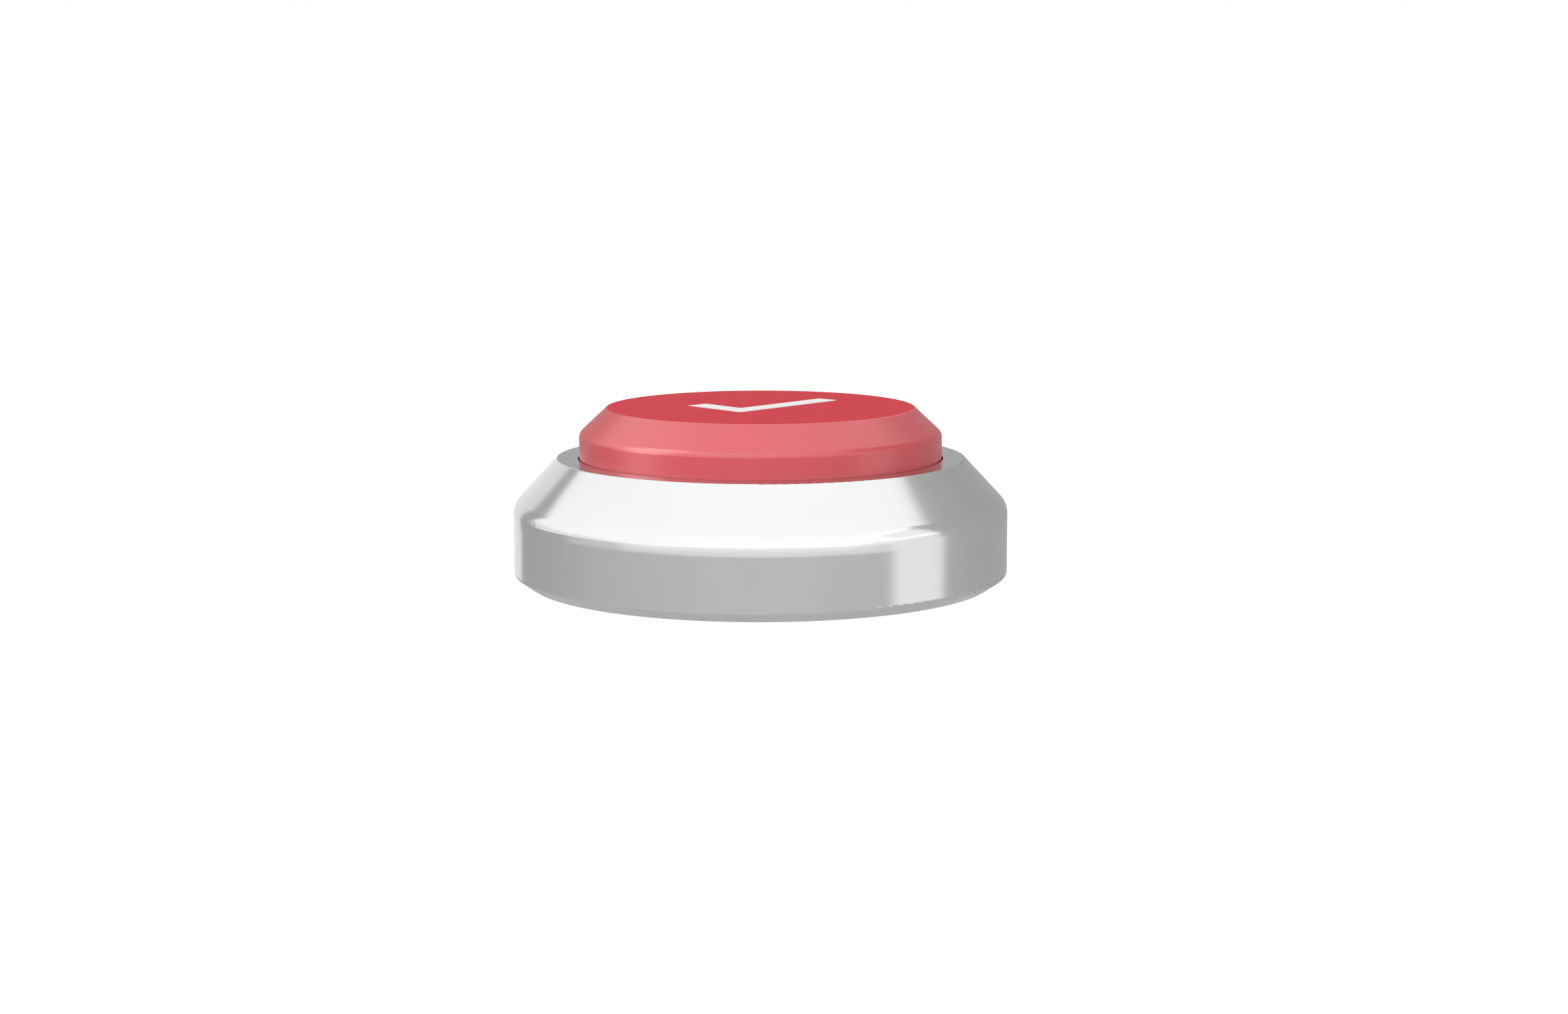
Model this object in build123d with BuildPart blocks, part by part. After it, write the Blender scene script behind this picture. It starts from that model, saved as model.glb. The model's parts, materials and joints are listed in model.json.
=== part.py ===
from build123d import *

import os
from math import cos, radians, sin, tan

# Quiz buzzer: a round push button with a sound board, a loudspeaker and two AAA cells inside.
# Millimetres. +Z is up, the origin is the centre of the rest plane under the feet, the front is -Y.

os.makedirs("parts", exist_ok=True)

# ---- Driving dimensions -------------------------------------------------------------------------

# Housing
body_radius = 45.0
rim_z = 0.7
rim_fillet = 0.4
rim_bevel_width = 2.8
rim_bevel_height = 1.9
rim_bevel_fillet = 0.8
wall_top_z = 15.05
shoulder_fillet = 3.5
deck_z = 23.5
deck_radius = 37.15
deck_fillet = 0.3
opening_radius = 33.2
opening_fillet = 0.15
shell_wall = 2.0
floor_radius = 40.6
floor_bottom_z = 1.0
floor_top_z = 3.2
floor_chamfer = 0.4
bezel_lip_radius = 40.8
bezel_lip_top_z = 3.4

# Cap
cap_radius = 33.0
cap_shoulder_z = 27.95
cap_shoulder_fillet = 1.5
cap_top_z = 32.65
cap_top_radius = 28.0
cap_top_fillet = 0.4
cap_wall = 2.0
cap_skirt_bottom_z = 19.9
cap_flange_radius = 34.8
cap_flange_height = 1.5
cap_flange_fillet = 0.3

# Housing screws and their posts
post_circle = 36.0
post_radius = 2.6
post_angles = (60, 120, 240, 300)
post_top_gap = 1.6
screw_shank_radius = 1.05
screw_pilot_radius = 0.85
screw_pilot_top_z = 13.2
screw_clearance_radius = 1.25
screw_head_radius = 2.0
screw_head_height = 1.2
screw_head_recess_radius = 2.2
screw_head_sink = 0.1
screw_head_chamfer = 0.25
housing_screw_tip_z = 11.0
cross_drive_size = 2.2
cross_drive_depth = 0.7

# Cap guides and return springs
guide_circle = 25.0
guide_angles = (90, 210, 330)
leg_radius = 2.0
leg_end_z = 9.5
leg_chamfer = 0.4
collar_radius = 3.2
collar_bottom_z = 25.0
hub_radius = 3.0
rib_thickness = 1.2
rib_bottom_z = 28.6
notch_gap = 0.4
sleeve_radius = 3.4
sleeve_bore_radius = 2.3
sleeve_top_z = 15.8
sleeve_bore_bottom_z = 5.8
spring_wire_radius = 0.25
spring_mean_radius = 2.6
spring_turns = 6

# Feet
foot_circle = 34.5
foot_angles = (30, 150, 210, 330)
foot_radius = 4.0
foot_height = 1.5
foot_fillet = 0.35
foot_recess_gap = 0.1

# Battery box, cells and contacts
box_half_length = 24.5
box_front_y = -1.0
box_rear_y = 21.0
box_wall = 1.2
box_ceiling_z = 13.7
box_top_z = 15.0
cell_radius = 5.25
cell_length = 44.5
cell_edge_fillet = 0.4
cell_nub_length = 0.8
cell_nub_radius = 1.9
cell_z = 7.85
cell_y = (4.6, 15.4)
contact_thickness = 0.4
contact_half_width = 4.4
contact_bottom_z = 4.0
contact_top_z = 12.6
contact_tab_top_z = 16.0
contact_tab_width = 2.0
contact_button_radius = 3.0
contact_button_taper = 35
contact_coil_radius = 3.0
contact_coil_turns = 2
contact_wire_radius = 0.3
tab_slot_size = (0.7, 2.8)

# Battery door
door_thickness = 1.3
door_half_length = 25.2
door_front_y = -1.2
door_rear_y = 21.2
door_gap = 0.2
door_groove_count = 5
door_groove_start_x = -20.5
door_groove_pitch = 2.2
door_groove_width = 0.9
door_groove_length = 11.0
door_groove_depth = 0.35
door_tab_y = (2.5, 9.5)
door_tab_width = 4.0
door_tab_length = 1.4
door_tab_bottom_z = 1.45
door_tab_slot_gap = 0.6
door_tab_slot_top_z = 3.4
tongue_end_x = -31.2
tongue_y = 3.0
tongue_half_width = 3.0
tongue_top_z = 3.4
tongue_gap = 0.2
door_screw_x = -28.3
door_screw_hole_radius = 1.15
door_screw_recess_radius = 2.1
door_screw_recess_depth = 1.2
door_screw_head_radius = 1.9
door_screw_head_height = 1.0
door_screw_tip_z = 8.2
door_post_radius = 2.6
door_post_top_z = 10.0
door_post_bore_radius = 1.35
door_post_bore_top_z = 9.0

# Loudspeaker
speaker_y = -19.0
speaker_radius = 14.5
speaker_rim_width = 1.6
speaker_gasket_height = 0.7
speaker_flange_height = 0.8
speaker_ring_radius = 16.0
speaker_ring_top_z = 8.0
speaker_ring_gap = 0.2
basket_back_z = 8.2
basket_thickness = 0.6
basket_neck_radius = 7.4
basket_vent_radius = 3.4
terminal_length = 8.0
terminal_width = 4.4
terminal_thickness = 0.8
magnet_radius = 7.2
magnet_top_z = 12.2
yoke_height = 1.2
yoke_step = 0.8
grille_hole_radius = 0.9
grille_rings = ((4.0, 6), (8.0, 12), (11.6, 18))

# Sound board
board_radius = 21.0
board_bottom_z = 17.0
board_thickness = 1.6
board_post_circle = 17.5
board_post_angles = (90, 200, 340)
board_post_radius = 2.3
board_hole_radius = 1.15
board_pilot_radius = 0.8
board_pilot_depth = 3.2
board_screw_radius = 0.95
board_screw_head_radius = 1.9
board_screw_head_height = 1.2
board_screw_head_fillet = 0.5
board_screw_tip_z = 14.0
chip_centre = (-9.0, -3.0)
chip_size = (4.9, 3.9)
chip_height = 1.65
chip_chamfer = 0.3
chip_pin_pitch = 1.27
chip_pin_size = (0.42, 6.0)
chip_pin_count = 4
chip_pin_height = 0.35
capacitor_centre = (9.5, 7.5)
capacitor_radius = 2.5
capacitor_height = 5.4
capacitor_fillet = 0.4
resistor_x = 5.5
resistor_y = (-6.0, -9.0, -12.0)
resistor_half_length = 1.8
resistor_radius = 0.85
resistor_fillet = 0.4
resistor_reach = 3.2
resistor_lift = 1.1
resistor_wire_radius = 0.25
resistor_wire_bend = 0.6
lead_radius = 0.55

# Tactile switch, as heights above the board
switch_half_width = 3.0
switch_corner = 0.4
switch_well_radius = 2.5
switch_well_lift = 0.9
switch_cover_lift = 3.2
switch_cover_thickness = 0.3
switch_rivet_pitch = 4.4
switch_rivet_radius = 0.4
switch_rivet_height = 0.2
stem_radius = 1.7
stem_shoulder_radius = 2.3
stem_hole_gap = 0.25
stem_foot_lift = 1.7
stem_top_lift = 5.0
stem_top_fillet = 0.2
stem_gap = 3.24

# How far one feature is sunk into the one it grows from, and how far a cut starts outside
root_depth = 0.8
cut_margin = 1.0

# ---- Shared shapes ------------------------------------------------------------------------------


def on_circle(radius, angle):
    """Point on a circle about the origin, at an angle in degrees."""
    return (radius * cos(radians(angle)), radius * sin(radians(angle)))


def finish(piece, name):
    """Label a finished piece and write it."""
    piece.part.label = name
    export_step(piece.part, f"parts/{name}.step")


def columns(centres, radius, start_z, end_z, mode=Mode.ADD):
    """Upright round columns between two heights."""
    with BuildSketch(Plane.XY.offset(start_z)) as discs:
        with Locations(*centres):
            Circle(radius)
    extrude(discs.sketch, amount=end_z - start_z, mode=mode)


def block(centre, length, width, start_z, end_z, mode=Mode.ADD):
    """Upright rectangular block between two heights."""
    with BuildSketch(Plane.XY.offset(start_z)) as footprint:
        with Locations(centre):
            Rectangle(length, width)
    extrude(footprint.sketch, amount=end_z - start_z, mode=mode)


def turned(outline):
    """Revolve a closed outline of ((radius, z), fillet radius) corners about the Z axis."""
    with BuildSketch(Plane.XZ) as half:
        with BuildLine():
            FilletPolyline(
                *[point for point, corner in outline],
                radius=[corner for point, corner in outline],
                close=True,
            )
        make_face()
    revolve(half.sketch, axis=Axis.Z)


def cross_recess(centre, face_z, depth):
    """Cross drive cut into a screw head. A positive depth goes up from the head's face."""
    narrow = cross_drive_size / 4
    block(centre, cross_drive_size, narrow, face_z, face_z + depth, Mode.SUBTRACT)
    block(centre, narrow, cross_drive_size, face_z, face_z + depth, Mode.SUBTRACT)


def arc_radii(points):
    """Largest even arc for each corner of a route of straight runs."""
    radii = []
    for before, corner, after in zip(points, points[1:], points[2:]):
        run_in = Vector(*corner) - Vector(*before)
        run_out = Vector(*after) - Vector(*corner)
        turn = radians(run_in.get_angle(run_out))
        radii.append(0.45 * min(run_in.length, run_out.length) / tan(turn / 2))
    return radii


post_centres = [on_circle(post_circle, angle) for angle in post_angles]
guide_centres = [on_circle(guide_circle, angle) for angle in guide_angles]
foot_centres = [on_circle(foot_circle, angle) for angle in foot_angles]
board_post_centres = [on_circle(board_post_circle, angle) for angle in board_post_angles]
board_top_z = board_bottom_z + board_thickness

# ---- Bezel: the outer housing -------------------------------------------------------------------

flank_turn = radians(Vector(0, 1).get_angle(Vector(deck_radius - body_radius, deck_z - wall_top_z)))
inner_radius = body_radius - shell_wall
inner_wall_top_z = wall_top_z - shell_wall * tan(flank_turn / 2)
inner_deck_radius = deck_radius - shell_wall * tan((radians(90) - flank_turn) / 2)
deck_underside_z = deck_z - shell_wall

bezel_outline = [
    ((bezel_lip_radius, rim_z), 0),
    ((body_radius - rim_bevel_width, rim_z), rim_fillet),
    ((body_radius, rim_z + rim_bevel_height), rim_bevel_fillet),
    ((body_radius, wall_top_z), shoulder_fillet),
    ((deck_radius, deck_z), deck_fillet),
    ((opening_radius, deck_z), opening_fillet),
    ((opening_radius, deck_underside_z), 0),
    ((inner_deck_radius, deck_underside_z), 0),
    ((inner_radius, inner_wall_top_z), 0),
    ((inner_radius, bezel_lip_top_z), 0),
    ((bezel_lip_radius, bezel_lip_top_z), 0),
]

with BuildPart() as bezel:
    turned(bezel_outline)
    columns(post_centres, post_radius, floor_top_z, deck_z - post_top_gap)
    columns(post_centres, screw_pilot_radius, floor_top_z, screw_pilot_top_z, Mode.SUBTRACT)
finish(bezel, "bezel")

# ---- Push cap -----------------------------------------------------------------------------------

cap_turn = radians(
    Vector(0, 1).get_angle(Vector(cap_top_radius - cap_radius, cap_top_z - cap_shoulder_z))
)
skirt_inner_radius = cap_radius - cap_wall
skirt_inner_top_z = cap_shoulder_z - cap_wall * tan(cap_turn / 2)
cap_ceiling_z = cap_top_z - cap_wall
cap_ceiling_radius = cap_top_radius - cap_wall * tan((radians(90) - cap_turn) / 2)
cap_flange_top_z = cap_skirt_bottom_z + cap_flange_height
cap_root_z = cap_ceiling_z + root_depth
hub_bottom_z = board_top_z + stem_top_lift + stem_gap

cap_outline = [
    ((cap_top_radius, cap_top_z), cap_top_fillet),
    ((cap_radius, cap_shoulder_z), cap_shoulder_fillet),
    ((cap_radius, cap_flange_top_z), 0),
    ((cap_flange_radius, cap_flange_top_z), cap_flange_fillet),
    ((cap_flange_radius, cap_skirt_bottom_z), cap_flange_fillet),
    ((skirt_inner_radius, cap_skirt_bottom_z), 0),
    ((skirt_inner_radius, skirt_inner_top_z), 0),
    ((cap_ceiling_radius, cap_ceiling_z), 0),
    ((0, cap_ceiling_z), 0),
    ((0, cap_top_z), 0),
]

with BuildPart() as push_cap:
    turned(cap_outline)
    # The hub that meets the switch, the spring collars, their legs and the ribs between them
    columns([(0, 0)], hub_radius, hub_bottom_z, cap_root_z)
    columns(guide_centres, collar_radius, collar_bottom_z, cap_root_z)
    columns(guide_centres, leg_radius, leg_end_z, collar_bottom_z)
    chamfer(push_cap.faces().filter_by(Axis.Z).group_by(Axis.Z)[0].edges(), leg_chamfer)
    with BuildSketch(Plane.XY.offset(rib_bottom_z)):
        for angle in guide_angles:
            with Locations(Location(on_circle(guide_circle / 2, angle), angle)):
                Rectangle(guide_circle, rib_thickness)
    extrude(amount=cap_root_z - rib_bottom_z)
    # Notches in the flange that keep the cap from turning on the housing posts
    columns(
        post_centres,
        post_radius + notch_gap,
        cap_skirt_bottom_z - cut_margin,
        cap_flange_top_z,
        Mode.SUBTRACT,
    )
finish(push_cap, "push_cap")

# ---- Base plate ---------------------------------------------------------------------------------

box_outer_length = 2 * (box_half_length + box_wall)
box_width = box_rear_y - box_front_y
box_centre = (0, (box_front_y + box_rear_y) / 2)
door_length = 2 * door_half_length
door_width = door_rear_y - door_front_y
door_top_z = floor_bottom_z + door_thickness
speaker_centre = (0, speaker_y)

root_z = floor_top_z - root_depth
cut_z = floor_bottom_z - cut_margin
recess_top_z = door_top_z + 0.1
tab_slot_start_x = box_half_length - 0.1
tab_slot_end_x = door_half_length + door_tab_length + door_tab_slot_gap
tab_slot_length = tab_slot_end_x - tab_slot_start_x
tab_slot_start_z = door_tab_bottom_z - 0.1
tongue_centre = ((tongue_end_x - door_half_length) / 2, tongue_y)
tongue_length = -tongue_end_x - door_half_length
pocket_length = tongue_length + 2 * tongue_gap
pocket_width = 2 * (tongue_half_width + tongue_gap)
pocket_top_z = tongue_top_z + tongue_gap
roof_wall = 1.0
door_screw_centre = (door_screw_x, tongue_y)

with BuildPart() as base_plate:
    columns([(0, 0)], floor_radius, floor_bottom_z, floor_top_z)
    chamfer(base_plate.edges().group_by(Axis.Z)[0], floor_chamfer)
    block(box_centre, box_outer_length, box_width + 2 * box_wall, floor_bottom_z, box_top_z)
    columns(guide_centres, sleeve_radius, root_z, sleeve_top_z)
    columns(board_post_centres, board_post_radius, root_z, board_bottom_z)
    # Ring round the loudspeaker
    columns([speaker_centre], speaker_ring_radius, root_z, speaker_ring_top_z)
    columns(
        [speaker_centre],
        speaker_radius + speaker_ring_gap,
        floor_top_z,
        speaker_ring_top_z,
        Mode.SUBTRACT,
    )
    # Roof over the door's tongue, and the post its screw goes up into
    block(
        tongue_centre,
        pocket_length + 2 * roof_wall,
        pocket_width + 2 * roof_wall,
        root_z,
        pocket_top_z + roof_wall,
    )
    columns([door_screw_centre], door_post_radius, pocket_top_z, door_post_top_z)

    # Openings: battery box, door recess, tab slots and tongue pocket
    block(box_centre, 2 * box_half_length, box_width, cut_z, box_ceiling_z, Mode.SUBTRACT)
    block(
        box_centre,
        door_length + 2 * door_gap,
        door_width + 2 * door_gap,
        cut_z,
        recess_top_z,
        Mode.SUBTRACT,
    )
    for tab_y in door_tab_y:
        block(
            (tab_slot_start_x + tab_slot_length / 2, tab_y),
            tab_slot_length,
            door_tab_width + door_tab_slot_gap,
            tab_slot_start_z,
            door_tab_slot_top_z,
            Mode.SUBTRACT,
        )
    block(tongue_centre, pocket_length, pocket_width, cut_z, pocket_top_z, Mode.SUBTRACT)
    # Slots for the contacts' solder tabs
    for y in cell_y:
        slot_centre = (-box_half_length + 0.25, y)
        block(
            slot_centre,
            *tab_slot_size,
            box_ceiling_z - cut_margin,
            box_top_z + cut_margin,
            Mode.SUBTRACT,
        )

    # Round holes: sleeve bores, board screws, the door screw, feet, housing screws and grille
    columns(guide_centres, sleeve_bore_radius, sleeve_bore_bottom_z, sleeve_top_z, Mode.SUBTRACT)
    columns(
        board_post_centres,
        board_pilot_radius,
        board_bottom_z,
        board_bottom_z - board_pilot_depth,
        Mode.SUBTRACT,
    )
    columns(
        [door_screw_centre],
        door_post_bore_radius,
        tongue_top_z,
        door_post_bore_top_z,
        Mode.SUBTRACT,
    )
    columns(
        foot_centres, foot_radius + foot_recess_gap, floor_bottom_z, foot_height, Mode.SUBTRACT
    )
    with Locations(Plane.XY.offset(floor_bottom_z).rotated((180, 0, 0))):
        with Locations(*post_centres):
            CounterBoreHole(
                radius=screw_clearance_radius,
                counter_bore_radius=screw_head_recess_radius,
                counter_bore_depth=screw_head_height + screw_head_sink,
                depth=floor_top_z - floor_bottom_z,
            )
    with BuildSketch(Plane.XY.offset(floor_bottom_z)):
        with Locations(speaker_centre):
            Circle(grille_hole_radius)
            for ring_radius, hole_count in grille_rings:
                with PolarLocations(ring_radius, hole_count):
                    Circle(grille_hole_radius)
    extrude(amount=floor_top_z - floor_bottom_z, mode=Mode.SUBTRACT)
finish(base_plate, "base_plate")

# ---- Feet ---------------------------------------------------------------------------------------

for number, centre in enumerate(foot_centres, start=1):
    with BuildPart() as foot:
        columns([centre], foot_radius, 0, foot_height)
        fillet(foot.edges().group_by(Axis.Z)[0], foot_fillet)
    finish(foot, f"foot_{number}")

# ---- Housing screws -----------------------------------------------------------------------------

head_face_z = floor_bottom_z + screw_head_sink
head_top_z = head_face_z + screw_head_height

with BuildPart() as housing_screws:
    columns(post_centres, screw_head_radius, head_face_z, head_top_z)
    columns(post_centres, screw_shank_radius, head_top_z, housing_screw_tip_z)
    chamfer(housing_screws.edges().group_by(Axis.Z)[0], screw_head_chamfer)
    chamfer(housing_screws.edges().group_by(Axis.Z)[-1], screw_shank_radius / 2)
    for centre in post_centres:
        cross_recess(centre, head_face_z, cross_drive_depth)
finish(housing_screws, "housing_screws")

# ---- Battery door and its screw -----------------------------------------------------------------

tab_root = 1.0

with BuildPart() as battery_door:
    block(box_centre, door_length, door_width, floor_bottom_z, door_top_z)
    # Finger grooves across the outside
    for groove in range(door_groove_count):
        groove_centre = (door_groove_start_x + groove * door_groove_pitch, box_centre[1])
        block(
            groove_centre,
            door_groove_width,
            door_groove_length,
            floor_bottom_z,
            floor_bottom_z + door_groove_depth,
            Mode.SUBTRACT,
        )
    # Tabs that hook into the base plate
    for tab_y in door_tab_y:
        block(
            (door_half_length + (door_tab_length - tab_root) / 2, tab_y),
            door_tab_length + tab_root,
            door_tab_width,
            door_tab_bottom_z,
            door_top_z,
        )
    # Tongue for the screw
    block(tongue_centre, tongue_length, 2 * tongue_half_width, floor_bottom_z, tongue_top_z)
    with Locations(Plane.XY.offset(floor_bottom_z).rotated((180, 0, 0))):
        with Locations((door_screw_x, -tongue_y)):
            CounterBoreHole(
                radius=door_screw_hole_radius,
                counter_bore_radius=door_screw_recess_radius,
                counter_bore_depth=door_screw_recess_depth,
                depth=tongue_top_z - floor_bottom_z,
            )
finish(battery_door, "battery_door")

door_head_top_z = head_face_z + door_screw_head_height

with BuildPart() as door_screw:
    columns([door_screw_centre], door_screw_head_radius, head_face_z, door_head_top_z)
    columns([door_screw_centre], screw_shank_radius, door_head_top_z, door_screw_tip_z)
    chamfer(door_screw.edges().group_by(Axis.Z)[0], screw_head_chamfer)
    chamfer(door_screw.edges().group_by(Axis.Z)[-1], screw_shank_radius / 2)
    cross_recess(door_screw_centre, head_face_z, cross_drive_depth)
finish(door_screw, "door_screw")

# ---- Cells and contacts -------------------------------------------------------------------------

for number, y in enumerate(cell_y, start=1):
    nub_side = -1 if number == 1 else 1
    nub_end = nub_side * cell_length / 2
    can_end = nub_end - nub_side * cell_nub_length
    with BuildPart() as cell:
        with BuildSketch(Plane.YZ.offset(-nub_end)):
            with Locations((y, cell_z)):
                Circle(cell_radius)
        extrude(amount=can_end + nub_end)
        fillet(cell.edges().filter_by(GeomType.CIRCLE), cell_edge_fillet)
        with BuildSketch(Plane.YZ.offset(can_end)):
            with Locations((y, cell_z)):
                Circle(cell_nub_radius)
        extrude(amount=nub_end - can_end)
    finish(cell, f"cell_{number}")

contact_face_x = box_half_length - contact_thickness
cell_end_gap = contact_face_x - cell_length / 2


def contact_plate(side, centre_y, half_width):
    """Spring-steel plate against the end wall of the battery box."""
    with BuildSketch(Plane.YZ.offset(side * box_half_length)) as plate:
        with Locations((centre_y, (contact_bottom_z + contact_top_z) / 2)):
            Rectangle(2 * half_width, contact_top_z - contact_bottom_z)
    extrude(plate.sketch, amount=-side * contact_thickness)


def solder_tab(y):
    """Tab that passes up through the box's ceiling."""
    tab_bottom_z = contact_top_z - root_depth
    with BuildSketch(Plane.YZ.offset(-box_half_length)) as tab:
        with Locations((y, (tab_bottom_z + contact_tab_top_z) / 2)):
            Rectangle(contact_tab_width, contact_tab_top_z - tab_bottom_z)
    extrude(tab.sketch, amount=contact_thickness)


def contact_button(side, y):
    """Pressed button that meets a cell's nub."""
    with BuildSketch(Plane.YZ.offset(side * contact_face_x)) as button:
        with Locations((y, cell_z)):
            Circle(contact_button_radius)
    extrude(button.sketch, amount=-side * cell_end_gap, taper=contact_button_taper)


def contact_coil(side, y):
    """Coil that meets a cell's flat end."""
    coil_height = cell_end_gap - contact_wire_radius
    with BuildLine():
        coil = Helix(
            pitch=coil_height / contact_coil_turns,
            height=coil_height,
            radius=contact_coil_radius,
            center=(side * contact_face_x, y, cell_z),
            direction=(-side, 0, 0),
        )
    with BuildSketch(Plane(origin=coil @ 0, z_dir=coil % 0)) as wire:
        Circle(contact_wire_radius)
    sweep(wire.sketch, path=coil, is_frenet=True)


with BuildPart() as positive_contact:
    contact_plate(-1, cell_y[0], contact_half_width)
    solder_tab(cell_y[0])
    contact_button(-1, cell_y[0])
finish(positive_contact, "positive_contact")

with BuildPart() as negative_contact:
    contact_plate(-1, cell_y[1], contact_half_width)
    solder_tab(cell_y[1])
    contact_coil(-1, cell_y[1])
finish(negative_contact, "negative_contact")

with BuildPart() as bridge_contact:
    contact_plate(1, sum(cell_y) / 2, (cell_y[1] - cell_y[0]) / 2 + contact_half_width)
    contact_coil(1, cell_y[0])
    contact_button(1, cell_y[1])
finish(bridge_contact, "bridge_contact")

# ---- Loudspeaker --------------------------------------------------------------------------------

gasket_top_z = floor_top_z + speaker_gasket_height
flange_top_z = gasket_top_z + speaker_flange_height
rim_inner_radius = speaker_radius - speaker_rim_width
basket_front_z = basket_back_z - basket_thickness
speaker_axis = Axis((0, speaker_y, 0), (0, 0, 1))
speaker_plane = Plane((0, speaker_y, 0), x_dir=(1, 0, 0), z_dir=(0, -1, 0))


def speaker_turned(outline):
    """Revolve a closed outline of radius and height about the loudspeaker's axis."""
    with BuildSketch(speaker_plane) as half:
        with BuildLine():
            Polyline(*outline, close=True)
        make_face()
    revolve(half.sketch, axis=speaker_axis)


with BuildPart() as speaker_gasket:
    speaker_turned(
        [
            (rim_inner_radius, floor_top_z),
            (speaker_radius, floor_top_z),
            (speaker_radius, gasket_top_z),
            (rim_inner_radius, gasket_top_z),
        ]
    )
finish(speaker_gasket, "speaker_gasket")

with BuildPart() as speaker_basket:
    speaker_turned(
        [
            (rim_inner_radius, gasket_top_z),
            (speaker_radius, gasket_top_z),
            (speaker_radius, flange_top_z),
            (rim_inner_radius + 0.4, flange_top_z),
            (basket_neck_radius + basket_thickness, basket_back_z),
            (basket_vent_radius, basket_back_z),
            (basket_vent_radius, basket_front_z),
            (basket_neck_radius, basket_front_z),
            (rim_inner_radius, flange_top_z - 0.4),
        ]
    )
    # Solder terminals on the basket's flank
    block(
        (0, speaker_y + basket_neck_radius + terminal_width / 2),
        terminal_length,
        terminal_width,
        basket_front_z,
        basket_front_z + terminal_thickness,
    )
finish(speaker_basket, "speaker_basket")

with BuildPart() as speaker_magnet:
    speaker_turned(
        [
            (0, basket_back_z),
            (magnet_radius, basket_back_z),
            (magnet_radius, magnet_top_z - yoke_height),
            (magnet_radius - yoke_step, magnet_top_z - yoke_height),
            (magnet_radius - yoke_step, magnet_top_z),
            (0, magnet_top_z),
        ]
    )
finish(speaker_magnet, "speaker_magnet")

# The cone's face, from the crown of its centre dome out to the gasket
cone_front = [(0, 5.2), (2.4, 5.6), (3.6, 6.4), (9.4, 4.9), (11.0, 4.5), (rim_inner_radius, 3.95)]
cone_back = [(0, 5.45), (2.2, 5.85), (3.6, 6.7), (9.4, 5.15), (11.0, 4.75), (rim_inner_radius, 4.2)]

with BuildPart() as speaker_cone:
    speaker_turned(cone_front + cone_back[::-1])
finish(speaker_cone, "speaker_cone")

# ---- Sound board --------------------------------------------------------------------------------

with BuildPart() as circuit_board:
    columns([(0, 0)], board_radius, board_bottom_z, board_top_z)
    columns(board_post_centres, board_hole_radius, board_bottom_z, board_top_z, Mode.SUBTRACT)
finish(circuit_board, "circuit_board")

board_screw_face_z = board_top_z + board_screw_head_height

with BuildPart() as pcb_screws:
    columns(board_post_centres, board_screw_head_radius, board_top_z, board_screw_face_z)
    columns(board_post_centres, board_screw_radius, board_top_z, board_screw_tip_z)
    fillet(pcb_screws.edges().group_by(Axis.Z)[-1], board_screw_head_fillet)
    for centre in board_post_centres:
        cross_recess(centre, board_screw_face_z, -cross_drive_depth)
finish(pcb_screws, "pcb_screws")

with BuildPart() as sound_chip:
    block(chip_centre, *chip_size, board_top_z + 0.15, board_top_z + chip_height)
    chamfer(sound_chip.edges().group_by(Axis.Z)[-1], chip_chamfer)
    for pin in range(chip_pin_count):
        pin_x = chip_centre[0] + (pin - (chip_pin_count - 1) / 2) * chip_pin_pitch
        block((pin_x, chip_centre[1]), *chip_pin_size, board_top_z, board_top_z + chip_pin_height)
finish(sound_chip, "sound_chip")

with BuildPart() as capacitor:
    columns([capacitor_centre], capacitor_radius, board_top_z, board_top_z + capacitor_height)
    fillet(capacitor.edges().filter_by(GeomType.CIRCLE), capacitor_fillet)
finish(capacitor, "capacitor")

resistor_z = board_top_z + resistor_lift

with BuildPart() as resistors:
    for y in resistor_y:
        with BuildSketch(Plane.YZ.offset(resistor_x - resistor_half_length)):
            with Locations((y, resistor_z)):
                Circle(resistor_radius)
        extrude(amount=2 * resistor_half_length)
    fillet(resistors.edges().filter_by(GeomType.CIRCLE), resistor_fillet)
    for y in resistor_y:
        with BuildLine(Plane.XZ.offset(-y)):
            wire = FilletPolyline(
                (resistor_x - resistor_reach, board_top_z),
                (resistor_x - resistor_reach, resistor_z),
                (resistor_x + resistor_reach, resistor_z),
                (resistor_x + resistor_reach, board_top_z),
                radius=resistor_wire_bend,
            )
        with BuildSketch(Plane(origin=wire @ 0, z_dir=wire % 0)):
            Circle(resistor_wire_radius)
        sweep(path=wire)
finish(resistors, "resistors")

# ---- Tactile switch -----------------------------------------------------------------------------

switch_floor_z = board_top_z + switch_well_lift
switch_cover_z = board_top_z + switch_cover_lift
switch_top_z = switch_cover_z + switch_cover_thickness
stem_foot_z = board_top_z + stem_foot_lift
stem_shoulder_z = switch_cover_z - 0.1
dome_outline = [(0, 0.36), (1.2, 0.26), (2.1, 0), (2.3, 0), (1.2, 0.36), (0, 0.46)]

with BuildPart() as switch_body:
    with BuildSketch(Plane.XY.offset(board_top_z)):
        RectangleRounded(2 * switch_half_width, 2 * switch_half_width, switch_corner)
    extrude(amount=switch_cover_lift)
    columns([(0, 0)], switch_well_radius, switch_floor_z, switch_cover_z, Mode.SUBTRACT)
finish(switch_body, "switch_body")

with BuildPart() as switch_dome:
    with BuildSketch(Plane.XZ.shift_origin((0, 0, switch_floor_z))):
        with BuildLine():
            Polyline(*dome_outline, close=True)
        make_face()
    revolve(axis=Axis.Z)
finish(switch_dome, "switch_dome")

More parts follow.
